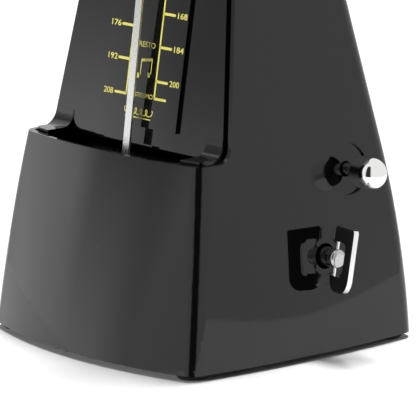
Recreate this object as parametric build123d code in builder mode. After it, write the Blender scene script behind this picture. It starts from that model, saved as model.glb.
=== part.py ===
from build123d import *
from math import atan, atan2, cos, degrees, hypot, pi, radians, sin, sqrt
import os

# Pyramid metronome: moulded case, open dial front, clockwork with verge escapement and bell.
# Millimetres, +Z up, front towards -Y. The feet stand on Z = 0.
# The case is centred on (CX, CY), so the whole object's outline, with its winding key and
# bell pull, is centred on the origin. The helpers below measure from the case centre.
CX = -6.14
CY = 4.1

# ---------------------------------------------------------------- case shape
FOOT_H = 1.8
BASE_Z = FOOT_H
STEP_Z = 64.4
CASE_TOP_Z = 206.0
TOTAL_Z = 216.0
WALL = 2.6
BASE_HALF_W = 51.0
BASE_HALF_D = 45.2
SIDE_DROP = 6.15
REAR_DROP = 6.15
FRONT_DROP = 8.8
SIDE_TAPER = 0.145
REAR_TAPER = 0.185
FRONT_CURVE = 1.44
DIAL_TAPER = 0.17
DIAL_Y = 18.5
DIAL_Z = 100.0
FRONT_BOW_LOW = 8.2
FRONT_BOW_HIGH = 4.0
SIDE_BOW_LOW = 3.0
SIDE_BOW_HIGH = 0.3
EDGE_R = 5.3
LEDGE_R = 5.4

# ---------------------------------------------------------------- dial
RIM_W = 1.9
GROOVE_W = 0.75
PANEL_SEAT = 0.8
PANEL_PROUD = 1.0
PLATE_T = 1.0
PLATE_HALF_W = 19.3
PLATE_LOW_Z = 69.8
PLATE_HIGH_Z = 202.0
SLOT_HALF_W = 33.7

# ---------------------------------------------------------------- axes of the clockwork (Y, Z)
PIVOT_Z = 43.0
WIND = (9.5, 31.3)
SECOND = (-12.4, 26.6)
CROWN = (-6.0, 43.0)
PULL = (21.4, 56.8)

# ---------------------------------------------------------------- clockwork
PLATE_L = (-32.4, -31.0)
PLATE_R = (24.0, 25.4)
MODULE = 0.8
GREAT_TEETH = 48
PINION_LEAVES = 8
SECOND_TEETH = 36
ARBOR_R = 1.5
VERGE_R = 1.2
FIT = 0.05
PILLARS = ((27.0, 12.0), (-24.0, 10.0), (29.0, 46.0), (-18.0, 57.0))
CROWN_R = 11.0
CROWN_TEETH = 15
CAM_LOBES = (2, 3, 4, 6)
CAM_T = 2.0

# ---------------------------------------------------------------- pendulum
ROD_W = 3.1
ROD_T = 0.7
ROD_Y = 24.85
ROD_Z = 100.0
ROD_LEAN = 0.136
ROD_TOP_Z = 204.0
BOB_Z = 16.5
WEIGHT_Z = 150.0


def level(z, x=0.0, y=0.0):
    """Horizontal plane at height z, centred on the case."""
    return Plane((CX + x, CY + y, z))


def across(x, y=0.0, z=0.0):
    """Plane facing +X whose local x runs along +Y and local y along +Z."""
    return Plane(origin=(CX + x, CY + y, z), x_dir=(0, 1, 0), z_dir=(1, 0, 0))


def facing(y, x=0.0, z=0.0):
    """Plane facing -Y whose local x runs along +X and local y along +Z."""
    return Plane(origin=(CX + x, CY + y, z), x_dir=(1, 0, 0), z_dir=(0, -1, 0))


def leaning(y, z, lean, out=0.0):
    """Plane through (0, y, z) facing the front, leaning back by lean per unit of height."""
    k = 1.0 / sqrt(1.0 + lean * lean)
    return Plane(
        origin=(CX, CY + y - out * k, z + out * lean * k),
        x_dir=(1, 0, 0),
        z_dir=(0, -k, lean * k),
    )


def along(lean, base_z, z):
    """Distance up a leaning plane from height base_z to height z."""
    return (z - base_z) * sqrt(1.0 + lean * lean)


# ---------------------------------------------------------------- outline of the case at a height
def drop(z, total, taper):
    """Inward run of a wall from the bottom edge to height z: curved below, straight above the step."""
    span = STEP_Z - BASE_Z
    if z > STEP_Z:
        return total + taper * (z - STEP_Z)
    t = (z - BASE_Z) / span
    bend = taper * span - total
    return (total - bend) * t + bend * t * t


def half_w(z):
    return BASE_HALF_W - drop(z, SIDE_DROP, SIDE_TAPER)


def rear_d(z):
    return BASE_HALF_D - drop(z, REAR_DROP, REAR_TAPER)


def front_d(z):
    taper = (FRONT_DROP + FRONT_CURVE) / (STEP_Z - BASE_Z)
    return BASE_HALF_D - drop(z, FRONT_DROP, taper)


def dial_y(z):
    return -(DIAL_Y - DIAL_TAPER * (z - DIAL_Z))


def blend(z, low, high):
    t = min(1.0, max(0.0, (z - BASE_Z) / (STEP_Z - BASE_Z)))
    return low + (high - low) * t


def case_outline(z, inset=0.0, front=None):
    """Closed outline with bowed front and sides and rounded corners, drawn in the open sketch."""
    w = half_w(z) - inset
    r = rear_d(z) - inset
    f = (front_d(z) if front is None else front) - inset
    bow_f = blend(z, FRONT_BOW_LOW, FRONT_BOW_HIGH)
    bow_s = blend(z, SIDE_BOW_LOW, SIDE_BOW_HIGH)
    mid = (r - f) / 2.0
    with BuildLine() as outline:
        ThreePointArc((-w, -f), (0, -f - bow_f), (w, -f))
        ThreePointArc((w, -f), (w + bow_s, mid), (w, r))
        Line((w, r), (-w, r))
        ThreePointArc((-w, r), (-w - bow_s, mid), (-w, -f))
    face = make_face(outline.edges())
    fillet(face.vertices(), max(EDGE_R - inset, 1.0))


LOW_LEVELS = (BASE_Z, 17.0, 33.0, 49.0, STEP_Z)


def case_body(inset, bottom, top):
    """Lower bowed body and upper pyramid, as two lofts that share the section at the step."""
    levels = [bottom] + [z for z in LOW_LEVELS if bottom + 1.0 < z]
    lower = []
    for z in levels:
        with BuildSketch(level(z)) as section:
            case_outline(z, inset)
        lower.append(section.sketch)
    loft(lower)
    upper = []
    for z in (STEP_Z, top):
        front = front_d(STEP_Z) - REAR_TAPER * (z - STEP_Z)
        with BuildSketch(level(z)) as section:
            case_outline(z, inset, max(front, 12.0))
        upper.append(section.sketch)
    loft(upper)


def dial_front_cut(shift, radius, mode=Mode.SUBTRACT):
    """Takes all that stands before the dial front, down to the ledge and its hollow corner."""
    foot_y = dial_y(STEP_Z) + shift
    ledge_z = STEP_Z - shift
    with BuildSketch(across(-80)) as profile:
        with BuildLine() as outline:
            Polyline(
                (-90, ledge_z),
                (foot_y, ledge_z),
                (dial_y(260) + shift, 260),
                (-90, 260),
                close=True,
            )
        face = make_face(outline.edges())
        fillet(face.vertices().sort_by_distance((foot_y, ledge_z))[0], radius)
    extrude(profile.sketch, amount=160, mode=mode)


with BuildPart() as hollow:
    case_body(WALL, BASE_Z, CASE_TOP_Z - WALL)
    dial_front_cut(WALL, LEDGE_R + WALL)


# ---------------------------------------------------------------- case
def case_x(y, z):
    """Distance from the case centre to the outer side wall at depth y and height z."""
    middle = (rear_d(z) - front_d(z)) / 2.0
    reach = (rear_d(z) + front_d(z)) / 2.0
    bow = blend(z, SIDE_BOW_LOW, SIDE_BOW_HIGH)
    return half_w(z) + bow * (1.0 - ((y - middle) / reach) ** 2)


def wall_plane(axis):
    """Plane on the right wall at axis (Y, Z), square to the wall."""
    y, z = axis
    lean = (half_w(z - 1.0) - half_w(z + 1.0)) / 2.0
    k = 1.0 / sqrt(1.0 + lean * lean)
    return Plane(
        origin=(CX + case_x(y, z), CY + y, z), x_dir=(0, 1, 0), z_dir=(k, 0, lean * k)
    )


SCREW_X = 44.0
SCREW_Y = (-38.3, 36.8)
SCREWS = [(side * SCREW_X, y) for side in (-1, 1) for y in SCREW_Y]


def slot_outline(reach, ends):
    """Opening behind the lower front wall; reach is the wall left standing in front of it."""
    front = front_d(STEP_Z) - reach
    edge = FRONT_BOW_HIGH * (SLOT_HALF_W / half_w(STEP_Z)) ** 2
    y_end = -front - FRONT_BOW_HIGH + edge
    rear = dial_y(STEP_Z)
    with BuildLine() as outline:
        ThreePointArc((-SLOT_HALF_W, y_end), (0, -front - FRONT_BOW_HIGH), (SLOT_HALF_W, y_end))
        Polyline((SLOT_HALF_W, y_end), (SLOT_HALF_W, rear), (-SLOT_HALF_W, rear), (-SLOT_HALF_W, y_end))
    face = make_face(outline.edges())
    fillet(face.vertices().sort_by(Axis.Y)[:2], ends)


def dial_outline(inset, low, high, corner_low):
    """Tapered outline on the leaning dial front, notched over the two ends of the ledge."""
    wide = [(half_w(z) - inset, along(DIAL_TAPER, DIAL_Z, z)) for z in (corner_low, high)]
    notch = SLOT_HALF_W
    foot = along(DIAL_TAPER, DIAL_Z, low)
    right = [(notch, foot), (notch, wide[0][1]), wide[0], wide[1]]
    left = [(-x, t) for x, t in reversed(right)]
    Polygon(*right, *left, align=None)


SLANT = sqrt(1.0 + DIAL_TAPER * DIAL_TAPER)
SKIN_TOP_Z = 70.6


def ledge_ends(inset, deep, proud=None):
    """Layer over the two ends of the ledge and its hollow corner, from a depth to a height."""
    for side in (-1, 1):
        with BuildSketch(facing(0.0)) as ends:
            wide = [(half_w(z) - inset, z) for z in (STEP_Z - 3.0, SKIN_TOP_Z)]
            points = [(SLOT_HALF_W, STEP_Z - 3.0), *wide, (SLOT_HALF_W, SKIN_TOP_Z)]
            Polygon(*[(side * x, z) for x, z in points], align=None)
        extrude(ends.sketch, amount=60.0)
    with BuildSketch(level(STEP_Z - 4.0)) as plan:
        case_outline(STEP_Z, inset)
    extrude(plan.sketch, amount=12.0, mode=Mode.INTERSECT)
    dial_front_cut(deep * SLANT, LEDGE_R + deep * SLANT, Mode.INTERSECT)
    if proud is not None:
        dial_front_cut(-proud * SLANT, LEDGE_R - proud * SLANT)


with BuildPart() as ledge_seats:
    ledge_ends(RIM_W, PANEL_SEAT)

with BuildPart() as ledge_skins:
    ledge_ends(RIM_W + GROOVE_W, PANEL_SEAT, PANEL_PROUD)

with BuildPart() as case_shell:
    case_body(0.0, BASE_Z, CASE_TOP_Z)
    dial_front_cut(0.0, LEDGE_R)
    add(hollow.part, mode=Mode.SUBTRACT)
    # bosses for the base screws, run into the corners
    with BuildSketch(level(4.8)):
        with Locations(*SCREWS):
            Circle(4.0)
    extrude(amount=15.0)
    with BuildSketch(level(4.8)):
        with Locations(*SCREWS):
            Circle(1.25)
    extrude(amount=12.0, mode=Mode.SUBTRACT)
    # pendulum slot and the step along its front edge
    with BuildSketch(level(STEP_Z - 6.0)):
        slot_outline(WALL, 4.0)
    extrude(amount=18.0, mode=Mode.SUBTRACT)
    with BuildSketch(level(STEP_Z - 2.2)):
        slot_outline(1.1, 5.0)
    extrude(amount=14.0, mode=Mode.SUBTRACT)
    # shallow seat for the dial panel
    with BuildSketch(leaning(dial_y(DIAL_Z), DIAL_Z, DIAL_TAPER, 1.0)):
        dial_outline(RIM_W, STEP_Z - 3.0, CASE_TOP_Z - 1.2, 69.95)
    extrude(amount=-1.0 - PANEL_SEAT, mode=Mode.SUBTRACT)
    add(ledge_seats.part, mode=Mode.SUBTRACT)
    # dished rings and hole for the winding shaft
    for radius, depth in ((10.2, 0.3), (8.7, 0.8), (5.9, 1.3), (4.05, 6.0)):
        with BuildSketch(wall_plane(WIND).offset(1.0)):
            Circle(radius)
        extrude(amount=-1.0 - depth, mode=Mode.SUBTRACT)
    # round recess and hole for the bell pull
    for radius, depth in ((8.2, 1.0), (2.5, 6.0)):
        with BuildSketch(wall_plane(PULL).offset(1.0)):
            Circle(radius)
        extrude(amount=-1.0 - depth, mode=Mode.SUBTRACT)
case_shell.part.label = "case_shell"

CAP_W = 24.8
CAP_FRONT = -14.0
CAP_REAR = 13.4
with BuildPart() as top_cap:
    with BuildSketch(level(CASE_TOP_Z, 0, (CAP_FRONT + CAP_REAR) / 2)):
        RectangleRounded(2 * CAP_W, CAP_REAR - CAP_FRONT, 4.0)
    extrude(amount=TOTAL_Z - CASE_TOP_Z, taper=8.0)
    fillet(top_cap.faces().sort_by(Axis.Z)[-1].edges(), 2.4)
    # catch for a front cover, cut up into the underside of the overhang
    with BuildSketch(level(CASE_TOP_Z, 0, -9.5)):
        Rectangle(26.0, 2.0)
    extrude(amount=3.0, mode=Mode.SUBTRACT)
top_cap.part.label = "top_cap"

with BuildPart() as dial_panel:
    with BuildSketch(leaning(dial_y(DIAL_Z), DIAL_Z, DIAL_TAPER, -PANEL_SEAT)):
        dial_outline(RIM_W + GROOVE_W, STEP_Z + 0.3, CASE_TOP_Z - 2.0, 70.0)
    extrude(amount=PANEL_SEAT + PANEL_PROUD)
    add(ledge_skins.part)
dial_panel.part.label = "dial_panel"

with BuildPart() as scale_plate:
    low_t = along(DIAL_TAPER, DIAL_Z, PLATE_LOW_Z)
    high_t = along(DIAL_TAPER, DIAL_Z, PLATE_HIGH_Z)
    with BuildSketch(leaning(dial_y(DIAL_Z), DIAL_Z, DIAL_TAPER, PANEL_PROUD)):
        with Locations((0, (low_t + high_t) / 2)):
            RectangleRounded(2 * PLATE_HALF_W, high_t - low_t, 0.6)
    extrude(amount=PLATE_T)
scale_plate.part.label = "scale_plate"

# ---------------------------------------------------------------- base
FLOOR_Z = 4.8
with BuildPart() as base_plate:
    with BuildSketch(level(BASE_Z)):
        case_outline(FLOOR_Z, WALL + 0.15)
    extrude(amount=FLOOR_Z - BASE_Z)
    with BuildSketch(level(BASE_Z)):
        with Locations(*SCREWS):
            Circle(1.4)
    extrude(amount=10.0, mode=Mode.SUBTRACT)
    with BuildSketch(level(BASE_Z)):
        with Locations(*SCREWS):
            Circle(2.7)
    extrude(amount=1.6, mode=Mode.SUBTRACT)
    # sound slots under the bell side
    with BuildSketch(level(BASE_Z)):
        with GridLocations(7.0, 0, 5, 1):
            SlotOverall(22.0, 3.0, rotation=90)
    extrude(amount=10.0, mode=Mode.SUBTRACT)
base_plate.part.label = "base_plate"

with BuildPart() as base_screws:
    with BuildSketch(level(BASE_Z + 0.1)):
        with Locations(*SCREWS):
            Circle(2.5)
    extrude(amount=1.5)
    with BuildSketch(level(BASE_Z + 1.0)):
        with Locations(*SCREWS):
            Circle(1.2)
    extrude(amount=12.0)
base_screws.part.label = "base_screws"

FOOT_R = 5.0
FEET = [(side * 44.6, y) for side in (-1, 1) for y in (-40.2, 38.6)]
with BuildPart() as rubber_feet:
    with BuildSketch(level(0.0)):
        with Locations(*FEET):
            Circle(FOOT_R)
    extrude(amount=FOOT_H)
    chamfer(rubber_feet.faces().group_by(Axis.Z)[0].edges(), 0.4)
rubber_feet.part.label = "rubber_feet"

# ---------------------------------------------------------------- movement frame
PLATE_EDGE = [(-29, 4.8), (33, 4.8), (33, 60), (27, 66), (-14, 66), (-20, 60), (-29, 52)]
FLANGE_T = 1.4
FLANGE_SCREWS = ((-16.0, 5.5), (20.0, 5.5))


def movement_plate(span, outward, holes):
    """Upright plate between two X positions, with a foot bent outward at its lower edge."""
    with BuildSketch(across(span[0])) as blank:
        Polygon(*PLATE_EDGE, align=None)
        for y, z, radius in holes:
            with Locations((y, z)):
                Circle(radius, mode=Mode.SUBTRACT)
    extrude(blank.sketch, amount=span[1] - span[0])
    edge = span[1] if outward > 0 else span[0]
    with BuildSketch(level(FLOOR_Z, edge + outward * 5.0, 2.0)) as foot:
        Rectangle(10.0, 46.0)
        with Locations((outward * 0.5, -18.0), (outward * 0.5, 18.0)):
            Circle(1.3, mode=Mode.SUBTRACT)
    extrude(foot.sketch, amount=FLANGE_T)


PILLAR_HOLES = [(y, z, 1.2) for y, z in PILLARS]
with BuildPart() as left_plate:
    movement_plate(
        PLATE_L,
        -1,
        [
            (*WIND, ARBOR_R + FIT),
            (*SECOND, ARBOR_R + FIT),
            (*CROWN, ARBOR_R + FIT),
            (*PULL, 1.45),
            *PILLAR_HOLES,
        ],
    )
left_plate.part.label = "left_plate"

with BuildPart() as right_plate:
    movement_plate(
        PLATE_R,
        1,
        [(*WIND, 2.55), (*SECOND, ARBOR_R + FIT), (*PULL, 1.45), *PILLAR_HOLES],
    )
right_plate.part.label = "right_plate"

with BuildPart() as pillars:
    with BuildSketch(across(PLATE_L[1])):
        with Locations(*PILLARS):
            Circle(2.0)
    extrude(amount=PLATE_R[0] - PLATE_L[1])
pillars.part.label = "pillars"

with BuildPart() as plate_screws:
    for start, run in ((PLATE_L[0], -1), (PLATE_R[1], 1)):
        with BuildSketch(across(start)):
            with Locations(*PILLARS):
                Circle(2.6)
        extrude(amount=run * 1.3)
        with BuildSketch(across(start)):
            with Locations(*PILLARS):
                Circle(1.15)
        extrude(amount=-run * 1.4)
plate_screws.part.label = "plate_screws"

with BuildPart() as foot_screws:
    spots = [
        (edge + side * 5.5, 2.0 + y)
        for edge, side in ((PLATE_L[0], -1), (PLATE_R[1], 1))
        for y in (-18.0, 18.0)
    ]
    with BuildSketch(level(FLOOR_Z + FLANGE_T)):
        with Locations(*spots):
            Circle(2.3)
    extrude(amount=1.4)
    with BuildSketch(level(FLOOR_Z)):
        with Locations(*spots):
            Circle(1.2)
    extrude(amount=2.0)
foot_screws.part.label = "foot_screws"

with BuildPart() as front_bridge:
    with BuildSketch(facing(-27.5, (PLATE_L[1] + PLATE_R[0]) / 2, PIVOT_Z)):
        Rectangle(PLATE_R[0] - PLATE_L[1], 10.0)
        with Locations((-(PLATE_L[1] + PLATE_R[0]) / 2, 0)):
            Circle(VERGE_R + FIT, mode=Mode.SUBTRACT)
    extrude(amount=1.5)
front_bridge.part.label = "front_bridge"

REAR_BRIDGE_Y = 8.6
with BuildPart() as rear_bridge:
    with BuildSketch(facing(REAR_BRIDGE_Y + 1.8, 0, PIVOT_Z)):
        with Locations(((PLATE_L[1] + 3.5) / 2, 0)):
            Rectangle(3.5 - PLATE_L[1], 7.0)
        Circle(VERGE_R + FIT, mode=Mode.SUBTRACT)
    extrude(amount=1.8)
rear_bridge.part.label = "rear_bridge"

with BuildPart() as crown_cock:
    with BuildSketch(across(-14.6)):
        with Locations((-14.0, PIVOT_Z)):
            Rectangle(27.0, 8.0)
        with Locations(CROWN):
            Circle(ARBOR_R + FIT, mode=Mode.SUBTRACT)
    extrude(amount=1.2)
    with BuildSketch(facing(-26.3, -11.8, PIVOT_Z)):
        Rectangle(5.6, 8.0)
    extrude(amount=1.2)
crown_cock.part.label = "crown_cock"

BELL = (-22.1, 3.0)
with BuildPart() as top_bridge:
    with BuildSketch(level(STEP_Z, (PLATE_L[1] + PLATE_R[0]) / 2, 3.0)):
        Rectangle(PLATE_R[0] - PLATE_L[1], 18.0)
    extrude(amount=1.4)
top_bridge.part.label = "top_bridge"

# ---------------------------------------------------------------- wheels
def angle_from(a, b):
    return degrees(atan2(b[1] - a[1], b[0] - a[0]))


def toothed(span, axis, teeth, root, tip, half_root, half_tip, phase, skew=0.0):
    """Wheel blank with straight-sided teeth between two X positions; skew leans the tooth tips."""
    with BuildSketch(across(span[0], *axis)) as blank:
        Circle(root)
        with PolarLocations(0.0, teeth, start_angle=phase):
            Polygon(
                (root - 0.3, -half_root),
                (tip, skew - half_tip),
                (tip, skew + half_tip),
                (root - 0.3, half_root),
                align=None,
            )
    extrude(blank.sketch, amount=span[1] - span[0])


def disc(span, axis, radius, mode=Mode.ADD):
    with BuildSketch(across(span[0], *axis)) as blank:
        Circle(radius)
    extrude(blank.sketch, amount=span[1] - span[0], mode=mode)


def ring_of_holes(span, axis, count, at, radius):
    with BuildSketch(across(span[0], *axis)) as blank:
        with PolarLocations(at, count):
            Circle(radius)
    extrude(blank.sketch, amount=span[1] - span[0], mode=Mode.SUBTRACT)


GREAT_R = MODULE * GREAT_TEETH / 2
PINION_R = MODULE * PINION_LEAVES / 2
SECOND_R = MODULE * SECOND_TEETH / 2
TO_SECOND = angle_from(WIND, SECOND)
TO_CROWN = angle_from(SECOND, CROWN)

with BuildPart() as barrel_drum:
    toothed(
        (6.4, 8.2), WIND, GREAT_TEETH, GREAT_R - 0.85, GREAT_R + 0.55,
        0.45, 0.2, TO_SECOND + 180.0 / GREAT_TEETH,
    )
    disc((8.2, 21.5), WIND, 16.5)
    disc((9.4, 21.5), WIND, 15.5, Mode.SUBTRACT)
    disc((6.4, 9.4), WIND, 2.55, Mode.SUBTRACT)
barrel_drum.part.label = "barrel_drum"

with BuildPart() as barrel_cover:
    disc((21.5, 22.6), WIND, 16.5)
    disc((21.5, 22.6), WIND, 2.55, Mode.SUBTRACT)
barrel_cover.part.label = "barrel_cover"

SPRING_TURNS = 8
SPRING_T = 0.45
with BuildPart() as mainspring:

    def spiral(offset):
        count = SPRING_TURNS * 12
        return [
            (
                (3.0 + offset + 12.0 * i / count) * cos(2 * pi * i / 12),
                (3.0 + offset + 12.0 * i / count) * sin(2 * pi * i / 12),
            )
            for i in range(count + 1)
        ]

    inner = spiral(0.0)
    outer = spiral(SPRING_T)
    with BuildSketch(across(9.9, *WIND)):
        with BuildLine():
            Spline(*inner)
            Spline(*outer)
            Line(inner[0], outer[0])
            Line(inner[-1], outer[-1])
        make_face()
    extrude(amount=11.0)
mainspring.part.label = "mainspring"

with BuildPart() as second_arbor:
    disc((PLATE_L[0] - 0.2, PLATE_R[1] + 0.2), SECOND, ARBOR_R)
    toothed(
        (4.6, 10.0), SECOND, PINION_LEAVES, 2.3, PINION_R + 0.5,
        0.32, 0.18, TO_SECOND + 180.0,
    )
second_arbor.part.label = "second_arbor"

with BuildPart() as second_wheel:
    toothed(
        (-28.6, -27.2), SECOND, SECOND_TEETH, SECOND_R - 0.85, SECOND_R + 0.55,
        0.45, 0.2, TO_CROWN + 180.0 / SECOND_TEETH,
    )
    disc((-29.6, -26.2), SECOND, 3.0)
    disc((-29.6, -26.2), SECOND, ARBOR_R, Mode.SUBTRACT)
    ring_of_holes((-28.6, -27.2), SECOND, 5, 8.2, 3.2)
second_wheel.part.label = "second_wheel"

with BuildPart() as crown_arbor:
    disc((PLATE_L[0] - 0.2, -10.4), CROWN, ARBOR_R)
    toothed(
        (-30.2, -25.6), CROWN, PINION_LEAVES, 2.3, PINION_R + 0.5,
        0.32, 0.18, TO_CROWN + 180.0,
    )
crown_arbor.part.label = "crown_arbor"

with BuildPart() as crown_wheel:
    disc((-12.0, -4.6), CROWN, CROWN_R)
    disc((-11.0, -4.6), CROWN, CROWN_R - 1.0, Mode.SUBTRACT)
    disc((-12.0, -11.0), CROWN, ARBOR_R, Mode.SUBTRACT)
    ring_of_holes((-12.0, -11.0), CROWN, 4, 6.0, 2.4)
    for i in range(CROWN_TEETH):
        turn = 360.0 * i / CROWN_TEETH
        c = cos(radians(turn))
        s = sin(radians(turn))
        face = Plane(
            origin=(CX - 4.5, CY + CROWN[0] + 13.0 * c, CROWN[1] + 13.0 * s),
            x_dir=(0, -s, c),
            z_dir=(0, c, s),
        )
        with BuildSketch(face):
            Polygon((-1.9, 0.1), (1.9, 0.1), (1.5, -3.0), align=None)
        extrude(amount=-5.0, mode=Mode.SUBTRACT)
crown_wheel.part.label = "crown_wheel"

with BuildPart() as beat_cams:
    for i, lobes in enumerate(CAM_LOBES):
        start = -25.0 + i * CAM_T
        with BuildSketch(across(start, *CROWN)) as cam:
            Circle(6.5)
            with PolarLocations(6.2, lobes):
                SlotOverall(6.2, 2.8)
        extrude(cam.sketch, amount=CAM_T)
    disc((-25.0, -17.0), CROWN, ARBOR_R, Mode.SUBTRACT)
beat_cams.part.label = "beat_cams"

# ---------------------------------------------------------------- winding
SHAFT_R = 3.05
WALL_X = case_x(*WIND)
SHAFT_END = WALL_X + 5.7
PIN_X = WALL_X + 3.8
KEY_TILT = 11.0
PIN_R = 0.55
with BuildPart() as winding_arbor:
    disc((PLATE_L[0] - 0.2, 5.4), WIND, ARBOR_R)
    disc((5.4, 28.2), WIND, 2.5)
    disc((28.2, SHAFT_END), WIND, SHAFT_R)
    fillet(winding_arbor.edges().group_by(Axis.X)[-1], 1.4)
    up = (0, sin(radians(KEY_TILT)), cos(radians(KEY_TILT)))
    with BuildSketch(Plane((CX + PIN_X, CY + WIND[0], WIND[1]), x_dir=(1, 0, 0), z_dir=up)):
        Circle(PIN_R)
    extrude(amount=5.0, both=True, mode=Mode.SUBTRACT)
winding_arbor.part.label = "winding_arbor"

with BuildPart() as key_pin:
    with BuildSketch(Plane((CX + PIN_X, CY + WIND[0], WIND[1]), x_dir=(1, 0, 0), z_dir=up)):
        Circle(PIN_R)
    extrude(amount=7.9, both=True)
key_pin.part.label = "key_pin"

# the wing is measured from its cross pin and stands folded a little towards the front
KEY_FOLD = -17.0
WING_IN = -1.2
WING_OUT = 12.3
WING_HALF = 10.1
WING_T = 1.55
NOTCH_HALF = 5.4
NOTCH_END = 7.4
with BuildPart() as key_wing:
    pin_up = Vector(*up)
    reach = Vector(1, 0, 0) * cos(radians(KEY_FOLD)) + pin_up.cross(Vector(1, 0, 0)) * sin(radians(KEY_FOLD))
    blade = Plane(
        origin=(CX + PIN_X, CY + WIND[0], WIND[1]), x_dir=reach, z_dir=reach.cross(pin_up)
    )
    with BuildSketch(blade) as outline:
        with Locations(((WING_OUT + WING_IN) / 2, 0)):
            Rectangle(WING_OUT - WING_IN, 2 * WING_HALF)
        ends = outline.vertices().sort_by_distance(blade.from_local_coords(Vector(-30, 0, 0)))
        fillet(ends[2:], 4.8)
        ends = outline.vertices().sort_by_distance(blade.from_local_coords(Vector(-30, 0, 0)))
        fillet(ends[:2], 1.1)
        with Locations(((NOTCH_END + WING_IN - 4.0) / 2, 0)):
            RectangleRounded(NOTCH_END - WING_IN + 4.0, 2 * NOTCH_HALF, 1.9, mode=Mode.SUBTRACT)
    extrude(amount=WING_T / 2, both=True)
    with BuildSketch(Plane((CX + PIN_X, CY + WIND[0], WIND[1]), x_dir=(1, 0, 0), z_dir=up)):
        Circle(PIN_R + FIT)
    extrude(amount=8.2, both=True, mode=Mode.SUBTRACT)
key_wing.part.label = "key_wing"

RATCHET_TEETH = 12
with BuildPart() as ratchet_wheel:
    toothed((26.2, 28.0), WIND, RATCHET_TEETH, 6.6, 8.6, 1.5, 0.25, 16.5, 1.1)
    disc((26.2, 28.0), WIND, 2.5, Mode.SUBTRACT)
ratchet_wheel.part.label = "ratchet_wheel"

CLICK = (WIND[0] + 14.0 * cos(radians(60)), WIND[1] + 14.0 * sin(radians(60)))
with BuildPart() as click:
    tip_angle = radians(105.0)
    tip = (WIND[0] + 7.8 * cos(tip_angle) - CLICK[0], WIND[1] + 7.8 * sin(tip_angle) - CLICK[1])
    with BuildSketch(across(26.2, *CLICK)):
        Circle(2.4)
        Polygon((1.0, 2.2), (-1.6, -1.0), (tip[0], tip[1]), (tip[0] - 0.4, tip[1] + 1.4), align=None)
        Circle(1.25, mode=Mode.SUBTRACT)
    extrude(amount=1.8)
click.part.label = "click"

with BuildPart() as click_screw:
    disc((25.4, 28.2), CLICK, 1.2)
    disc((28.2, 29.4), CLICK, 2.6)
click_screw.part.label = "click_screw"


def coil(start, axis, radius, wire, pitch, turns):
    """Helical spring along +X from start, round the axis at (Y, Z)."""
    y, z = axis
    with BuildLine() as path:
        Helix(
            pitch=pitch,
            height=pitch * turns,
            radius=radius,
            center=(CX + start, CY + y, z),
            direction=(1, 0, 0),
        )
    with BuildSketch(Plane(path.line @ 0, z_dir=path.line % 0)) as wire_end:
        Circle(wire)
    sweep(wire_end.sketch, path=path.line, is_frenet=True)


with BuildPart() as click_spring:
    coil(29.9, CLICK, 2.9, 0.3, 0.8, 2.25)
click_spring.part.label = "click_spring"

# ---------------------------------------------------------------- pendulum
def rod_y(z):
    return -(ROD_Y - ROD_LEAN * (z - ROD_Z))


def rod_plane(out=0.0):
    return leaning(rod_y(ROD_Z), ROD_Z, ROD_LEAN, out)


def rod_t(z):
    return along(ROD_LEAN, ROD_Z, z)


HUB_Y = rod_y(PIVOT_Z)
PALLETS = ((CROWN[0] - CROWN_R, 50.0), (CROWN[0] + CROWN_R, -50.0))
with BuildPart() as verge_arbor:
    with BuildSketch(facing(REAR_BRIDGE_Y + 2.0, 0, PIVOT_Z)):
        Circle(VERGE_R)
    extrude(amount=REAR_BRIDGE_Y + 2.0 - HUB_Y + 3.2)
    for y, turn in PALLETS:
        with BuildSketch(facing(y + 1.5, 0, PIVOT_Z)):
            Circle(2.0)
            with Locations(Rotation(0, 0, 180.0 - turn)):
                with Locations((2.1, 0)):
                    Rectangle(4.2, 0.8)
        extrude(amount=3.0)
verge_arbor.part.label = "verge_arbor"

with BuildPart() as pendulum_rod:
    with BuildSketch(rod_plane()):
        with Locations((0, (rod_t(BOB_Z - 8.0) + rod_t(ROD_TOP_Z)) / 2)):
            Rectangle(ROD_W, rod_t(ROD_TOP_Z) - rod_t(BOB_Z - 8.0))
        with Locations((0, rod_t(PIVOT_Z))):
            Circle(4.0)
    extrude(amount=ROD_T / 2, both=True)
    with BuildSketch(facing(HUB_Y + 5, 0, PIVOT_Z)):
        Circle(VERGE_R)
    extrude(amount=10.0, mode=Mode.SUBTRACT)
pendulum_rod.part.label = "pendulum_rod"

with BuildPart() as rod_hub:
    with BuildSketch(facing(-29.5, 0, PIVOT_Z)):
        Circle(3.0)
        Circle(VERGE_R, mode=Mode.SUBTRACT)
    extrude(amount=-29.5 - HUB_Y + 2.6)
    with BuildSketch(rod_plane()):
        with Locations((0, rod_t(PIVOT_Z))):
            Rectangle(20.0, 20.0)
    extrude(amount=ROD_T / 2, both=True, mode=Mode.SUBTRACT)
rod_hub.part.label = "rod_hub"

BOB_R = 12.5
BOB_BACK = 4.5
BOB_FRONT = 7.5
with BuildPart() as bob_weight:
    with BuildSketch(rod_plane(-BOB_BACK)):
        with Locations((0, rod_t(BOB_Z + 2.0))):
            Circle(BOB_R)
    extrude(amount=BOB_BACK + BOB_FRONT)
    chamfer(bob_weight.faces().filter_by(GeomType.PLANE).edges(), 0.8)
    with BuildSketch(rod_plane()):
        with Locations((0, rod_t(BOB_Z + 4.0))):
            Rectangle(ROD_W, 40.0)
    extrude(amount=ROD_T / 2, both=True, mode=Mode.SUBTRACT)
bob_weight.part.label = "bob_weight"

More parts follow.
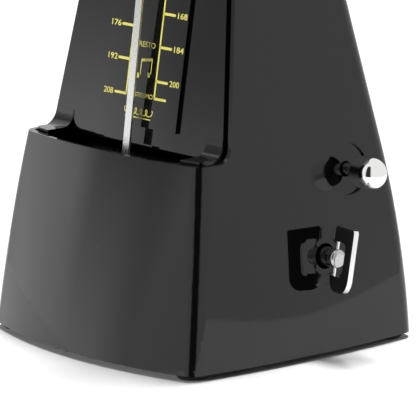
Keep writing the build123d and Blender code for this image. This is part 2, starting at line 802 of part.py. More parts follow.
WEIGHT_TOP_HALF = 9.5
WEIGHT_LOW_HALF = 7.0
WEIGHT_HALF_H = 7.5
WEIGHT_BACK = 2.1
WEIGHT_FRONT = 3.6
WEIGHT_POCKET = 0.8
with BuildPart() as tempo_weight:
    mid_t = rod_t(WEIGHT_Z)
    with BuildSketch(rod_plane(-WEIGHT_BACK)) as outline:
        with Locations((0, mid_t)):
            Polygon(
                (-WEIGHT_LOW_HALF, -WEIGHT_HALF_H),
                (WEIGHT_LOW_HALF, -WEIGHT_HALF_H),
                (WEIGHT_TOP_HALF, WEIGHT_HALF_H),
                (-WEIGHT_TOP_HALF, WEIGHT_HALF_H),
                align=None,
            )
        fillet(outline.vertices(), 1.2)
    extrude(amount=WEIGHT_BACK + WEIGHT_FRONT)
    with BuildSketch(rod_plane(-ROD_T / 2 - FIT)):
        with Locations((0, mid_t)):
            Rectangle(ROD_W + 2 * FIT, 30.0)
    extrude(amount=ROD_T + 2 * FIT, mode=Mode.SUBTRACT)
    with BuildSketch(rod_plane(ROD_T / 2)):
        with Locations((0, mid_t)):
            Rectangle(ROD_W + 2 * FIT, 9.0)
    extrude(amount=WEIGHT_POCKET, mode=Mode.SUBTRACT)
tempo_weight.part.label = "tempo_weight"

with BuildPart() as weight_spring:
    with BuildSketch(across(0)) as side:
        with BuildLine():
            base = rod_plane(ROD_T / 2 + 0.2)
            near = [base.from_local_coords(Vector(0, mid_t + t, h)) for t, h in ((-4.2, 0.35), (0, 0), (4.2, 0.35))]
            far = [base.from_local_coords(Vector(0, mid_t + t, h)) for t, h in ((-4.2, 0.6), (0, 0.25), (4.2, 0.6))]
            near = [(p.Y - CY, p.Z) for p in near]
            far = [(p.Y - CY, p.Z) for p in far]
            ThreePointArc(*near)
            Line(near[2], far[2])
            ThreePointArc(*far)
            Line(far[0], near[0])
        make_face()
    extrude(amount=1.5, both=True)
weight_spring.part.label = "weight_spring"

# ---------------------------------------------------------------- bell
BELL_R = 15.0
BELL_Z = 75.0
with BuildPart() as bell_post:
    with BuildSketch(level(65.8, *BELL)):
        Circle(3.0)
    extrude(amount=17.9)
    with BuildSketch(level(80.0, *BELL)):
        Circle(1.4)
    extrude(amount=8.4)
    with BuildSketch(level(85.5, *BELL)):
        RegularPolygon(2.8, 6)
    extrude(amount=2.0)
bell_post.part.label = "bell_post"

with BuildPart() as bell_cup:
    with BuildSketch(Plane(origin=(CX + BELL[0], CY + BELL[1], 0), x_dir=(1, 0, 0), z_dir=(0, -1, 0))):
        with BuildLine():
            Polyline((BELL_R, BELL_Z), (BELL_R, BELL_Z + 5.5))
            Spline(
                (BELL_R, BELL_Z + 5.5),
                (11.0, BELL_Z + 9.4),
                (3.5, BELL_Z + 10.5),
                tangents=((0, 1), (-1, 0)),
            )
            Polyline((3.5, BELL_Z + 10.5), (1.4, BELL_Z + 10.5), (1.4, BELL_Z + 8.7), (3.5, BELL_Z + 8.7))
            Spline(
                (3.5, BELL_Z + 8.7),
                (9.9, BELL_Z + 7.8),
                (BELL_R - 1.5, BELL_Z + 5.2),
                tangents=((1, 0), (0, -1)),
            )
            Polyline((BELL_R - 1.5, BELL_Z + 5.2), (BELL_R - 1.5, BELL_Z), (BELL_R, BELL_Z))
        make_face()
    revolve(axis=Axis((CX + BELL[0], CY + BELL[1], 0), (0, 0, 1)))
bell_cup.part.label = "bell_cup"

KNOB_R = 5.0
PULL_WALL_X = case_x(*PULL)
KNOB_BACK = PULL_WALL_X + 5.5
DETENTS = (27.4, 29.6, 31.6, 33.6)
with BuildPart() as bell_rod:
    disc((-41.2, 40.0), PULL, 1.4)
    disc((40.0, KNOB_BACK), PULL, 1.8)
    for x in DETENTS:
        with BuildSketch(across(x - 0.5, *PULL)) as groove:
            Circle(2.0)
            Circle(1.1, mode=Mode.SUBTRACT)
        extrude(groove.sketch, amount=1.0, mode=Mode.SUBTRACT)
bell_rod.part.label = "bell_rod"

with BuildPart() as bell_knob:
    with BuildSketch(Plane(origin=(CX + KNOB_BACK, CY + PULL[0], PULL[1]), x_dir=(1, 0, 0), z_dir=(0, -1, 0))):
        with BuildLine():
            Line((0, 0), (0, KNOB_R - 0.8))
            ThreePointArc((0, KNOB_R - 0.8), (0.234, KNOB_R - 0.234), (0.8, KNOB_R))
            Line((0.8, KNOB_R), (5.5, KNOB_R))
            ThreePointArc(
                (5.5, KNOB_R),
                (5.5 + KNOB_R * sin(pi / 4), KNOB_R * cos(pi / 4)),
                (5.5 + KNOB_R, 0),
            )
            Line((5.5 + KNOB_R, 0), (0, 0))
        make_face()
    revolve(axis=Axis((CX, CY + PULL[0], PULL[1]), (1, 0, 0)))
bell_knob.part.label = "bell_knob"

HAMMER_X = -26.2
HEAD_Z = 79.0
with BuildPart() as bell_hammer:
    disc((HAMMER_X - 2.4, HAMMER_X + 2.4), PULL, 3.2)
    with BuildSketch(across(HAMMER_X - 0.8)) as lever:
        Polygon((20.2, 56.8), (22.6, 56.8), (23.7, HEAD_Z + 1.0), (21.5, HEAD_Z + 1.0), align=None)
        Polygon((21.4, 59.4), (-6.6, 56.2), (-7.6, 54.9), (21.4, 54.9), align=None)
    extrude(lever.sketch, amount=1.6)
    with BuildSketch(facing(25.3, HAMMER_X, HEAD_Z)) as head:
        Circle(2.6)
    extrude(head.sketch, amount=5.6)
    disc((HAMMER_X - 2.4, HAMMER_X + 2.4), PULL, 1.45, Mode.SUBTRACT)
bell_hammer.part.label = "bell_hammer"

with BuildPart() as hammer_spring:
    coil(HAMMER_X + 2.9, PULL, 2.4, 0.35, 1.0, 3.5)
hammer_spring.part.label = "hammer_spring"

with BuildPart() as detent_spring:
    with BuildLine():
        Polyline(
            (CX + 25.4, CY + 27.5, 50.0),
            (CX + 27.4, CY + 27.5, 50.0),
            (CX + 27.4, CY + PULL[0] + 2.3, PULL[1] - 1.0),
            (CX + 27.4, CY + PULL[0] + 2.3, PULL[1] + 3.0),
        )
    with BuildSketch(across(25.4, 27.5, 50.0)):
        Circle(0.4)
    sweep(transition=Transition.ROUND)
detent_spring.part.label = "detent_spring"

# ---------------------------------------------------------------- files
os.makedirs("parts", exist_ok=True)
export_step(case_shell.part, "parts/case_shell.step")
export_step(top_cap.part, "parts/top_cap.step")
export_step(dial_panel.part, "parts/dial_panel.step")
export_step(scale_plate.part, "parts/scale_plate.step")
export_step(base_plate.part, "parts/base_plate.step")
export_step(base_screws.part, "parts/base_screws.step")
export_step(rubber_feet.part, "parts/rubber_feet.step")
export_step(left_plate.part, "parts/left_plate.step")
export_step(right_plate.part, "parts/right_plate.step")
export_step(pillars.part, "parts/pillars.step")
export_step(plate_screws.part, "parts/plate_screws.step")
export_step(foot_screws.part, "parts/foot_screws.step")
export_step(front_bridge.part, "parts/front_bridge.step")
export_step(rear_bridge.part, "parts/rear_bridge.step")
export_step(crown_cock.part, "parts/crown_cock.step")
export_step(top_bridge.part, "parts/top_bridge.step")
export_step(barrel_drum.part, "parts/barrel_drum.step")
export_step(barrel_cover.part, "parts/barrel_cover.step")
export_step(mainspring.part, "parts/mainspring.step")
export_step(second_arbor.part, "parts/second_arbor.step")
export_step(second_wheel.part, "parts/second_wheel.step")
export_step(crown_arbor.part, "parts/crown_arbor.step")
export_step(crown_wheel.part, "parts/crown_wheel.step")
export_step(beat_cams.part, "parts/beat_cams.step")
export_step(winding_arbor.part, "parts/winding_arbor.step")
export_step(key_pin.part, "parts/key_pin.step")
export_step(key_wing.part, "parts/key_wing.step")
export_step(ratchet_wheel.part, "parts/ratchet_wheel.step")
export_step(click.part, "parts/click.step")
export_step(click_screw.part, "parts/click_screw.step")
export_step(click_spring.part, "parts/click_spring.step")
export_step(verge_arbor.part, "parts/verge_arbor.step")
export_step(pendulum_rod.part, "parts/pendulum_rod.step")
export_step(rod_hub.part, "parts/rod_hub.step")
export_step(bob_weight.part, "parts/bob_weight.step")
export_step(tempo_weight.part, "parts/tempo_weight.step")
export_step(weight_spring.part, "parts/weight_spring.step")
export_step(bell_post.part, "parts/bell_post.step")
export_step(bell_cup.part, "parts/bell_cup.step")
export_step(bell_rod.part, "parts/bell_rod.step")
export_step(bell_knob.part, "parts/bell_knob.step")
export_step(bell_hammer.part, "parts/bell_hammer.step")
export_step(hammer_spring.part, "parts/hammer_spring.step")
export_step(detent_spring.part, "parts/detent_spring.step")
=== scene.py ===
import math

import bpy
from mathutils import Matrix, Vector


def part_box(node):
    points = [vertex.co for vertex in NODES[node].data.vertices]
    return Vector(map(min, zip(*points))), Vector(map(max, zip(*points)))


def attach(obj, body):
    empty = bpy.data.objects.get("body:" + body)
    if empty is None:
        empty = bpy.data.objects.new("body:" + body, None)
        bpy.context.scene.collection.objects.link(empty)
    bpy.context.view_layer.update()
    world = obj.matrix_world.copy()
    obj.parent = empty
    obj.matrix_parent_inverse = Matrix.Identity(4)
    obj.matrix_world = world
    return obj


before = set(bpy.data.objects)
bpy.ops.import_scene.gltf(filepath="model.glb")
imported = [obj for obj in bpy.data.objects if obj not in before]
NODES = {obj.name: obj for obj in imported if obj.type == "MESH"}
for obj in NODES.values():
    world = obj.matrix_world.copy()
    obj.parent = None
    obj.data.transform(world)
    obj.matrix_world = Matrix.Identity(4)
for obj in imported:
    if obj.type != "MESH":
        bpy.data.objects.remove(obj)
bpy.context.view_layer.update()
MM = 0.001


# ------------------------------------------------------------------ node helpers
class Paint:
    """A Principled material with helpers that add procedural detail in the row frame's metres."""

    def __init__(self, name, color, metallic=0.0, rough=0.5, spec=0.5):
        self.mat = bpy.data.materials.new(name)
        self.mat.use_nodes = True
        self.nt = self.mat.node_tree
        self.shader = self.nt.nodes["Principled BSDF"]
        self.color = (*color, 1.0)
        self.set("Base Color", self.color)
        self.set("Metallic", metallic)
        self.set("Roughness", rough)
        self.set("Specular IOR Level", spec)
        self.coord = self.add("ShaderNodeTexCoord").outputs["Object"]

    def set(self, name, value):
        self.shader.inputs[name].default_value = value

    def add(self, kind, **values):
        node = self.nt.nodes.new(kind)
        for key, value in values.items():
            if hasattr(node, key):
                setattr(node, key, value)
            else:
                node.inputs[key.replace("_", " ")].default_value = value
        return node

    def link(self, source, target):
        self.nt.links.new(source, target)

    def stretched(self, factors, coord=None):
        node = self.add("ShaderNodeVectorMath", operation="MULTIPLY")
        self.link(coord or self.coord, node.inputs[0])
        node.inputs[1].default_value = factors
        return node.outputs[0]

    def noise(self, scale, detail=3.0, factors=(1, 1, 1), rough=0.5, coord=None):
        node = self.add("ShaderNodeTexNoise")
        node.inputs["Scale"].default_value = scale
        node.inputs["Detail"].default_value = detail
        node.inputs["Roughness"].default_value = rough
        self.link(self.stretched(factors, coord), node.inputs["Vector"])
        return node.outputs["Fac"]

    def ramp(self, fac, low, high, low_at=0.3, high_at=0.7):
        """Maps a factor onto numbers from low to high."""
        node = self.add("ShaderNodeMapRange")
        self.link(fac, node.inputs["Value"])
        for name, value in (("From Min", low_at), ("From Max", high_at), ("To Min", low), ("To Max", high)):
            node.inputs[name].default_value = value
        return node.outputs["Result"]

    def mix(self, fac, a, b):
        """A colour between a and b, each a colour or a socket."""
        node = self.add("ShaderNodeMix", data_type="RGBA")
        self.link(fac, node.inputs["Factor"])
        for value, socket in ((a, node.inputs[6]), (b, node.inputs[7])):
            if isinstance(value, tuple):
                socket.default_value = (*value[:3], 1.0)
            else:
                self.link(value, socket)
        return node.outputs[2]

    def rough_from(self, fac, low, high):
        self.link(self.ramp(fac, low, high), self.shader.inputs["Roughness"])

    def color_from(self, source):
        self.link(source, self.shader.inputs["Base Color"])

    def bump(self, fac, strength, distance):
        node = self.add("ShaderNodeBump")
        node.inputs["Strength"].default_value = strength
        node.inputs["Distance"].default_value = distance
        previous = self.shader.inputs["Normal"]
        if previous.is_linked:
            self.link(previous.links[0].from_socket, node.inputs["Normal"])
        self.link(fac, node.inputs["Height"])
        self.link(node.outputs["Normal"], previous)


def gloss_black(name, level=0.0024, rough=0.035):
    """Injection-moulded gloss black: faint waviness, fine haze and a few specks of dust."""
    p = Paint(name, (level, level, level * 1.15), rough=rough, spec=0.48)
    haze = p.noise(60, 4.0)
    p.rough_from(haze, rough * 0.8, rough * 1.5)
    p.bump(p.noise(110, 1.0), 0.05, 0.0002)
    dust = p.add("ShaderNodeTexVoronoi", feature="F1")
    dust.inputs["Scale"].default_value = 130
    p.link(p.coord, dust.inputs["Vector"])
    near = p.ramp(dust.outputs["Distance"], 1.0, 0.0, 0.018, 0.03)
    pick = p.add("ShaderNodeSeparateColor")
    p.link(dust.outputs["Color"], pick.inputs["Color"])
    few = p.ramp(pick.outputs["Red"], 0.0, 1.0, 0.93, 0.94)
    both = p.add("ShaderNodeMath", operation="MULTIPLY")
    p.link(near, both.inputs[0])
    p.link(few, both.inputs[1])
    p.color_from(p.mix(both.outputs[0], p.color, (0.28, 0.28, 0.27)))
    return p


def metal(name, color, rough, stretch=(1, 1, 1), scale=900, depth=0.25, spots=0.12):
    """Worked metal with tool marks running along the axis that is stretched least."""
    p = Paint(name, color, metallic=1.0, rough=rough)
    marks = p.noise(scale, 2.0, stretch)
    cloud = p.noise(70, 3.0)
    p.rough_from(marks, rough * (1 - depth), rough * (1 + depth))
    dark = tuple(c * (1 - spots) for c in color)
    p.color_from(p.mix(cloud, dark, color))
    p.bump(marks, 0.08, 0.00004)
    return p


def moulded(name, color, rough, grain=1400, bump=0.15):
    """Matt plastic or rubber with a fine moulded grain."""
    p = Paint(name, color, rough=rough)
    fine = p.noise(grain, 2.0)
    p.rough_from(p.noise(90, 3.0), rough * 0.88, min(1.0, rough * 1.12))
    p.color_from(p.mix(p.noise(45, 3.0), tuple(c * 0.8 for c in color), color))
    p.bump(fine, bump, 0.00005)
    return p


# ------------------------------------------------------------------ materials
case_black = gloss_black("case_black")
panel_black = gloss_black("panel_black", 0.0024, 0.035)
plate_black = gloss_black("plate_black", 0.0026, 0.045)
grain_black = moulded("grain_black", (0.014, 0.014, 0.015), 0.55)
rubber = moulded("foot_rubber", (0.011, 0.011, 0.011), 0.8, 900, 0.3)
nylon = moulded("nylon", (0.72, 0.70, 0.64), 0.42, 700, 0.05)
rod_steel = metal("rod_steel", (0.80, 0.81, 0.79), 0.30, (1.0, 1.0, 0.02), 5200, 0.45, 0.14)
key_steel = metal("key_steel", (0.56, 0.56, 0.55), 0.22, (3.0, 0.4, 0.4), 1500, 0.3, 0.25)
turned_steel = metal("turned_steel", (0.52, 0.52, 0.53), 0.3, (3.0, 0.4, 0.4), 1500, 0.3, 0.15)
spring_steel = metal("spring_steel", (0.30, 0.32, 0.36), 0.3)
# steel darkened far below bare steel, a painted shade for the inside of the case where the plates and top
# bridge show through the slot
dark_steel = metal("dark_steel", (0.06, 0.06, 0.063), 0.42, (0.2, 0.2, 3.0), 1200, 0.25, 0.15)
screw_steel = metal("screw_steel", (0.50, 0.50, 0.50), 0.38)
chrome = metal("chrome", (0.86, 0.86, 0.85), 0.055, (1, 1, 1), 400, 0.5, 0.03)
sheet_brass = metal("sheet_brass", (0.76, 0.56, 0.26), 0.3, (0.2, 0.2, 3.0), 1200, 0.25, 0.12)
wheel_brass = metal("wheel_brass", (0.80, 0.60, 0.28), 0.26, (0.3, 2.0, 2.0), 1200, 0.25, 0.10)
bell_brass = metal("bell_brass", (0.83, 0.64, 0.30), 0.12, (1.0, 1.0, 4.0), 900, 0.3, 0.08)
bob_steel = metal("bob_steel", (0.30, 0.30, 0.31), 0.46, (2.0, 0.3, 2.0), 900, 0.2, 0.25)
cast_light = metal("weight_alloy", (0.74, 0.74, 0.75), 0.24, (1, 1, 1), 500, 0.3, 0.06)


# the folding wing: dark faces, bright rim
FACE_TILT = math.radians(11.0)
FACE_FOLD = math.radians(17.0)
wing_chrome = metal("wing_chrome", (0.90, 0.90, 0.89), 0.12, (1, 1, 1), 400, 0.4, 0.03)
facing = wing_chrome.add("ShaderNodeVectorMath", operation="DOT_PRODUCT")
wing_chrome.link(wing_chrome.coord.node.outputs["Normal"], facing.inputs[0])
facing.inputs[1].default_value = (
    -math.sin(FACE_FOLD),
    -math.cos(FACE_FOLD) * math.cos(FACE_TILT),
    math.cos(FACE_FOLD) * math.sin(FACE_TILT),
)
flatness = wing_chrome.add("ShaderNodeMath", operation="ABSOLUTE")
wing_chrome.link(facing.outputs["Value"], flatness.inputs[0])
on_face = wing_chrome.ramp(flatness.outputs[0], 0.0, 1.0, 0.80, 0.90)
bright = wing_chrome.shader.inputs["Base Color"].links[0].from_socket
wing_chrome.color_from(wing_chrome.mix(on_face, bright, (0.012, 0.012, 0.013)))
wing_chrome.link(wing_chrome.ramp(on_face, 1.0, 0.0, 0.0, 1.0), wing_chrome.shader.inputs["Metallic"])
wing_chrome.link(wing_chrome.ramp(on_face, 0.12, 0.42, 0.0, 1.0), wing_chrome.shader.inputs["Roughness"])

LOOKS = {
    "case_shell": case_black,
    "top_cap": case_black,
    "dial_panel": panel_black,
    "scale_plate": plate_black,
    "base_plate": grain_black,
    "base_screws": screw_steel,
    "rubber_feet": rubber,
    # the plates and top bridge take the darkened steel, which paints the shade inside the case
    "left_plate": dark_steel,
    "right_plate": dark_steel,
    "pillars": turned_steel,
    "plate_screws": screw_steel,
    "foot_screws": screw_steel,
    "front_bridge": grain_black,
    "rear_bridge": sheet_brass,
    "crown_cock": sheet_brass,
    "top_bridge": dark_steel,
    "barrel_drum": wheel_brass,
    "barrel_cover": wheel_brass,
    "mainspring": spring_steel,
    "second_arbor": turned_steel,
    "second_wheel": wheel_brass,
    "crown_arbor": turned_steel,
    "crown_wheel": wheel_brass,
    "beat_cams": nylon,
    "winding_arbor": key_steel,
    "key_pin": chrome,
    "key_wing": wing_chrome,
    "ratchet_wheel": turned_steel,
    "click": turned_steel,
    "click_screw": screw_steel,
    "click_spring": spring_steel,
    "verge_arbor": turned_steel,
    "pendulum_rod": rod_steel,
    "rod_hub": wheel_brass,
    "bob_weight": bob_steel,
    "tempo_weight": cast_light,
    "weight_spring": spring_steel,
    "bell_post": turned_steel,
    "bell_cup": bell_brass,
    "bell_rod": key_steel,
    "bell_knob": chrome,
    "bell_hammer": turned_steel,
    "hammer_spring": spring_steel,
    "detent_spring": spring_steel,
}
for node, look in LOOKS.items():
    data = NODES[node].data
    data.materials.clear()
    data.materials.append(look.mat)


# ------------------------------------------------------------------ printed scale
def front_of(node):
    """Point on, up direction and outward normal of a flat node's large front face."""
    mesh = NODES[node].data
    face = max((f for f in mesh.polygons if f.normal.y < -0.9), key=lambda f: f.area)
    n = face.normal.copy()
    up = (Vector((0, 0, 1)) - n * n.z).normalized()
    return face.center.copy(), up, n


PLATE_POINT, PLATE_UP, PLATE_OUT = front_of("scale_plate")
PLATE_LOW, PLATE_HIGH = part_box("scale_plate")
CENTRE_X = (PLATE_LOW.x + PLATE_HIGH.x) / 2
INK_LIFT = 0.03 * MM


def on_plate(x, z, lift=INK_LIFT):
    """Point in the row frame at x from the scale's centre line and height z, both in millimetres."""
    rise = (z * MM - PLATE_POINT.z) / PLATE_UP.z
    p = PLATE_POINT + PLATE_UP * rise + PLATE_OUT * lift
    return Vector((CENTRE_X + x * MM, p.y, p.z))


ink = Paint("ink_yellow", (0.70, 0.64, 0.135), rough=0.5, spec=0.3)
ink.color_from(ink.mix(ink.noise(900, 3.0), (0.58, 0.53, 0.105), ink.color))
ink.bump(ink.noise(2500, 2.0), 0.15, 0.00002)


def plate_matrix(x, z):
    right = Vector((1, 0, 0))
    m = Matrix((right, PLATE_UP, PLATE_OUT)).transposed().to_4x4()
    m.translation = on_plate(x, z)
    return m


def inked(obj, name):
    obj.name = name
    obj.data.materials.clear()
    obj.data.materials.append(ink.mat)
    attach(obj, "frame")
    return obj


def flat_curve(name, strokes, x, z, thick):
    """Rounded strokes of one width, each a list of points in millimetres round (x, z)."""
    data = bpy.data.curves.new(name, "CURVE")
    data.dimensions = "3D"
    data.bevel_depth = thick * MM / 2
    data.bevel_resolution = 2
    data.use_fill_caps = True
    for stroke in strokes:
        spline = data.splines.new("POLY")
        spline.points.add(len(stroke) - 1)
        for point, (px, pz) in zip(spline.points, stroke):
            point.co = (px * MM, pz * MM, 0, 1)
    obj = bpy.data.objects.new(name, data)
    bpy.context.scene.collection.objects.link(obj)
    obj.matrix_world = plate_matrix(x, z) @ Matrix.Diagonal((1, 1, 0.06, 1))
    return inked(obj, name)


def bar_mesh(name, bars):
    """Flat round-ended bars; each is (x0, z0, x1, z1, width) in millimetres on the plate."""
    verts, faces = [], []
    for x0, z0, x1, z1, width in bars:
        a, b = on_plate(x0, z0), on_plate(x1, z1)
        run = (b - a).normalized()
        side = PLATE_OUT.cross(run) * (width * MM / 2)
        rim = []
        for centre, start in ((b, -90), (a, 90)):
            for i in range(9):
                turn = math.radians(start + i * 22.5)
                rim.append(centre + run * (math.cos(turn) * width * MM / 2) + side * math.sin(turn))
        first = len(verts)
        verts.extend(rim)
        verts.extend(p - PLATE_OUT * INK_LIFT for p in rim)
        count = len(rim)
        faces.append([first + i for i in range(count)])
        for i in range(count):
            j = (i + 1) % count
            faces.append([first + i, first + count + i, first + count + j, first + j])
    mesh = bpy.data.meshes.new(name)
    mesh.from_pydata([tuple(v) for v in verts], [], faces)
    mesh.update()
    obj = bpy.data.objects.new(name, mesh)
    bpy.context.scene.collection.objects.link(obj)
    return inked(obj, name)


def words(name, text, x, z, height, width, bold=0.0):
    """Printed text on the plate: the capitals' height and the whole word's width, in millimetres."""
    data = bpy.data.curves.new(name, "FONT")
    data.body = text
    data.align_x = "CENTER"
    data.align_y = "CENTER"
    data.size = height * MM / 0.73
    data.offset = bold * MM
    data.extrude = INK_LIFT / 2
    data.resolution_u = 6
    obj = bpy.data.objects.new(name, data)
    bpy.context.scene.collection.objects.link(obj)
    bpy.context.view_layer.update()
    squeeze = width * MM / max(obj.dimensions.x, 1e-6)
    obj.matrix_world = plate_matrix(x, z) @ Matrix.Diagonal((squeeze, 1, 1, 1))
    bpy.context.view_layer.update()
    mesh = bpy.data.meshes.new_from_object(obj.evaluated_get(bpy.context.evaluated_depsgraph_get()))
    mesh.transform(obj.matrix_world)
    bpy.data.objects.remove(obj)
    made = bpy.data.objects.new(name, mesh)
    bpy.context.scene.collection.objects.link(made)
    return inked(made, name)


# beats a minute, set by the pendulum law for this rod and bob
BEATS = (
    208, 200, 192, 184, 176, 168, 160, 152, 144, 138, 132, 126, 120, 116, 112, 108, 104, 100, 96, 92,
    88, 84, 80, 76, 72, 69, 66, 63, 60, 58, 56, 54, 52, 50, 48, 46, 44, 42, 40,
)
PIVOT_Z = 43.0
BALANCE = 171.7
SPREAD = 9868.0
GRAVITY = 9810.0


def mark_z(beat):
    w2 = (math.pi * beat / 60.0) ** 2
    c = w2 * SPREAD - GRAVITY * BALANCE
    return PIVOT_Z + (math.sqrt(GRAVITY ** 2 - 4 * w2 * c) - GRAVITY) / (2 * w2)


LINE_X = 7.05
LINE_W = 0.72
TICK_END = 12.6
TICK_W = 0.85
LAST_TICK_Z = 79.5
TOP_Z = mark_z(BEATS[-1])
bars = [
    (-LINE_X, mark_z(BEATS[0]), -LINE_X, TOP_Z, LINE_W),
    (LINE_X, LAST_TICK_Z, LINE_X, TOP_Z, LINE_W),
    (LINE_X, LAST_TICK_Z, TICK_END, LAST_TICK_Z, TICK_W),
]
for i, beat in enumerate(BEATS):
    side = -1 if i % 2 == 0 else 1
    z = mark_z(beat)
    bars.append((side * LINE_X, z, side * TICK_END, z, TICK_W))
bar_mesh("scale_marks", bars)
NUMBER_X = 16.1
NUMBER_H = 1.9
THREE_DIGITS, TWO_DIGITS = 4.7, 3.2
for i, beat in enumerate(BEATS):
    side = -1 if i % 2 == 0 else 1
    wide = THREE_DIGITS if beat > 99 else TWO_DIGITS
    x = side * (NUMBER_X - (THREE_DIGITS - wide) / 2)
    words(f"number_{beat}", str(beat), x, mark_z(beat), NUMBER_H, wide, bold=0.04)

TEMPI = (
    ("PRESTISSIMO", 79.7, 12.4, 1.5),
    ("PRESTO", mark_z(184), 9.4, 1.8),
    ("ALLEGRO", mark_z(144), 10.4, 1.8),
    ("MODERATO", mark_z(112), 11.4, 1.8),
    ("ANDANTE", mark_z(92), 10.4, 1.8),
    ("ADAGIO", mark_z(69), 8.8, 1.8),
    ("LARGHETTO", mark_z(60), 12.0, 1.8),
    ("LARGO", mark_z(50), 8.0, 1.8),
)
for word, z, wide, tall in TEMPI:
    words(f"tempo_{word.lower()}", word, 0.0, z, tall, wide)

# a pair of joined notes and a plain looped ornament between the lowest marks
NOTE_Z = 88.2
NOTE_HEADS = ((-2.2, -2.6), (3.0, -1.9))
STEM_SIDE = 1.0
STEM_H = 5.2
tops = [(x + STEM_SIDE, z + STEM_H) for x, z in NOTE_HEADS]
stems = [[(x + STEM_SIDE, z + 0.3), top] for (x, z), top in zip(NOTE_HEADS, tops)]
flat_curve("note_stems", stems, 0.0, NOTE_Z, 0.42)
flat_curve("note_beam", [[(x, z - 0.3) for x, z in tops]], 0.0, NOTE_Z, 0.95)
for i, (x, z) in enumerate(NOTE_HEADS):
    flat_curve(f"note_head_{i}", [[(x - 0.45, z - 0.18), (x + 0.45, z + 0.18)]], 0.0, NOTE_Z, 1.7)
ORNAMENT_Z = 74.6
ORNAMENT_W = 0.4
LOOPS = 5
LOOP_STEPS = 120
LOOP_END = 6.6
LOOP_TALL = 0.95
turns = [2 * math.pi * LOOPS * i / LOOP_STEPS for i in range(LOOP_STEPS + 1)]
loops = [(-LOOP_END + 2 * LOOP_END * t / turns[-1] - math.sin(t), LOOP_TALL * math.cos(t)) for t in turns]
flat_curve("ornament", [loops], 0.0, ORNAMENT_Z, ORNAMENT_W)
flat_curve("ornament_line", [[(-6.4, -1.9), (6.4, -1.9)]], 0.0, ORNAMENT_Z, ORNAMENT_W)

# ------------------------------------------------------------------ camera
LENS = 337.3
TARGET = Vector((-6.14, 4.1, 62.1)) * MM
DISTANCE = 1.2374
AZIMUTH, ELEVATION, ROLL = (math.radians(a) for a in (51.17, 10.80, -0.815))
# how far the view turns right of and below the point aimed at, as slopes
AIM_RIGHT, AIM_DOWN = 0.0019, 0.0173

back = Vector((
    math.sin(AZIMUTH) * math.cos(ELEVATION),
    -math.cos(AZIMUTH) * math.cos(ELEVATION),
    math.sin(ELEVATION),
))
right = Vector((math.cos(AZIMUTH), math.sin(AZIMUTH), 0))
down = -back.cross(right)
turned_right = right * math.cos(ROLL) - down * math.sin(ROLL)
turned_down = right * math.sin(ROLL) + down * math.cos(ROLL)
ahead = (-back + turned_right * AIM_RIGHT + turned_down * AIM_DOWN).normalized()
turned_right = (turned_right - ahead * turned_right.dot(ahead)).normalized()
turned_up = turned_right.cross(ahead)
camera_data = bpy.data.cameras.new("camera")
camera_data.sensor_width = 36.0
camera_data.lens = LENS
camera_data.clip_start = 0.01
camera_data.clip_end = 50.0
camera = bpy.data.objects.new("camera", camera_data)
bpy.context.scene.collection.objects.link(camera)
pose = Matrix((turned_right, turned_up, -ahead)).transposed().to_4x4()
pose.translation = TARGET + back * DISTANCE
camera.matrix_world = pose
bpy.context.scene.camera = camera

# ------------------------------------------------------------------ studio
scene = bpy.context.scene
scene.view_settings.view_transform = "Standard"
world = bpy.data.worlds.new("studio")
scene.world = world
world.use_nodes = True
world.node_tree.nodes["Background"].inputs["Color"].default_value = (1.0, 1.0, 1.0, 1.0)
world.node_tree.nodes["Background"].inputs["Strength"].default_value = 0.10


def staged(name, verts, faces):
    mesh = bpy.data.meshes.new(name)
    mesh.from_pydata(verts, [], faces)
    obj = bpy.data.objects.new(name, mesh)
    bpy.context.scene.collection.objects.link(obj)
    return obj


FLOOR = 6.0
floor_corners = [(x * FLOOR, y * FLOOR, 0) for x, y in ((-1, -1), (1, -1), (1, 1), (-1, 1))]
floor = staged("floor", floor_corners, [(0, 1, 2, 3)])
floor_paint = Paint("floor_white", (0.86, 0.86, 0.86), rough=0.9, spec=0.1)
floor.data.materials.append(floor_paint.mat)

def glowing(name, verts, faces, strength):
    """A plain white emitter that only gloss surfaces see."""
    obj = staged(name, verts, faces)
    for ray in ("visible_camera", "visible_diffuse", "visible_shadow", "visible_transmission"):
        setattr(obj, ray, False)
    paint = Paint(name, (0, 0, 0), rough=1.0, spec=0.0)
    paint.set("Emission Color", (1.0, 1.0, 1.0, 1.0))
    paint.set("Emission Strength", strength)
    obj.data.materials.append(paint.mat)
    return paint


def drum(radius, low, high, steps):
    """Points and faces of an upright drum with a lid and no bottom."""
    angles = [2 * math.pi * i / steps for i in range(steps)]
    points = [(radius * math.sin(a), -radius * math.cos(a), z) for z in (low, high) for a in angles]
    walls = [(i, (i + 1) % steps, steps + (i + 1) % steps, steps + i) for i in range(steps)]
    return points, walls + [tuple(steps + i for i in range(steps))]


# an even white tent round the object
TENT_R = 0.30
TENT_H = 0.60
glowing("tent", *drum(TENT_R, 0.0, TENT_H, 64), 0.95)


CARD_FADE = 0.22


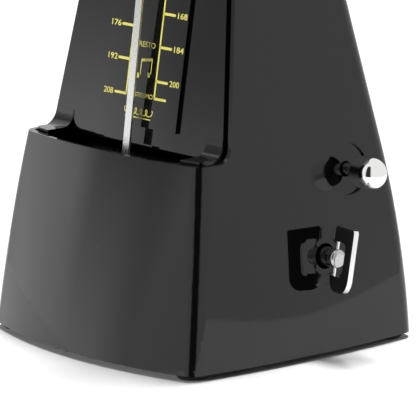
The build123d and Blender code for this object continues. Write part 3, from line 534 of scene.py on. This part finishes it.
def card(name, azimuth, reach, width, low, high, strength):
    """An upright card with soft edges; azimuth is in degrees from the front towards the key's side."""
    turn = math.radians(azimuth)
    place = Vector((math.sin(turn), -math.cos(turn), 0)) * reach
    side = Vector((math.cos(turn), math.sin(turn), 0)) * width / 2
    verts = [place + edge + Vector((0, 0, z)) for z in (low, high) for edge in (-side, side)]
    paint = glowing(name, [tuple(v) for v in verts], [(0, 1, 3, 2)], strength)
    split = paint.add("ShaderNodeSeparateXYZ")
    paint.link(paint.coord.node.outputs["Generated"], split.inputs[0])
    cover = paint.add("ShaderNodeMath", operation="MULTIPLY")
    for axis, socket in (("X", cover.inputs[0]), ("Z", cover.inputs[1])):
        away = paint.add("ShaderNodeMath", operation="SUBTRACT")
        paint.link(split.outputs[axis], away.inputs[0])
        away.inputs[1].default_value = 0.5
        size = paint.add("ShaderNodeMath", operation="ABSOLUTE")
        paint.link(away.outputs[0], size.inputs[0])
        paint.link(paint.ramp(size.outputs[0], 1.0, 0.0, 0.5 - CARD_FADE, 0.5), socket)
    paint.link(cover.outputs[0], paint.shader.inputs["Alpha"])


card("bright_card", -52, 0.27, 0.26, -0.10, 0.12, 1.5)
card("grey_card", -36, 0.25, 0.14, 0.0, 0.50, 0.5)
card("high_card", -50, 0.24, 0.26, 0.08, 0.58, 0.35)
card("dark_flag", 40, 0.26, 0.22, -0.30, 0.70, 0.03)


def softbox(name, place, aim, size, power):
    data = bpy.data.lights.new(name, "AREA")
    data.shape = "SQUARE"
    data.size = size
    data.energy = power
    lamp = bpy.data.objects.new(name, data)
    scene.collection.objects.link(lamp)
    lamp.location = place
    lamp.rotation_euler = (Vector(aim) - Vector(place)).to_track_quat("-Z", "Y").to_euler()
    lamp.visible_glossy = False
    return lamp


softbox("front_light", (-0.75, -1.45, 0.24), (0, 0, 0.12), 0.5, 22)
softbox("rear_light", (0.5, 1.7, 0.5), (0, 0, 0.1), 0.8, 9)

sun_data = bpy.data.lights.new("overhead_light", "SUN")
sun_data.energy = 4.1
sun_data.angle = math.radians(16.0)
sun = bpy.data.objects.new("overhead_light", sun_data)
scene.collection.objects.link(sun)
sun.rotation_euler = Vector((0.10, -0.22, -1.0)).to_track_quat("-Z", "Y").to_euler()
sun.visible_glossy = False

# plain white surroundings that only the camera sees
SKY_R = 9.0
sky = staged("surroundings", *drum(SKY_R, -3.0, 9.0, 48))
for ray in ("visible_diffuse", "visible_glossy", "visible_shadow", "visible_transmission"):
    setattr(sky, ray, False)
sky_paint = Paint("surroundings", (0, 0, 0))
sky_paint.set("Emission Color", (1.0, 1.0, 1.0, 1.0))
sky_paint.set("Emission Strength", 1.1)
sky.data.materials.append(sky_paint.mat)
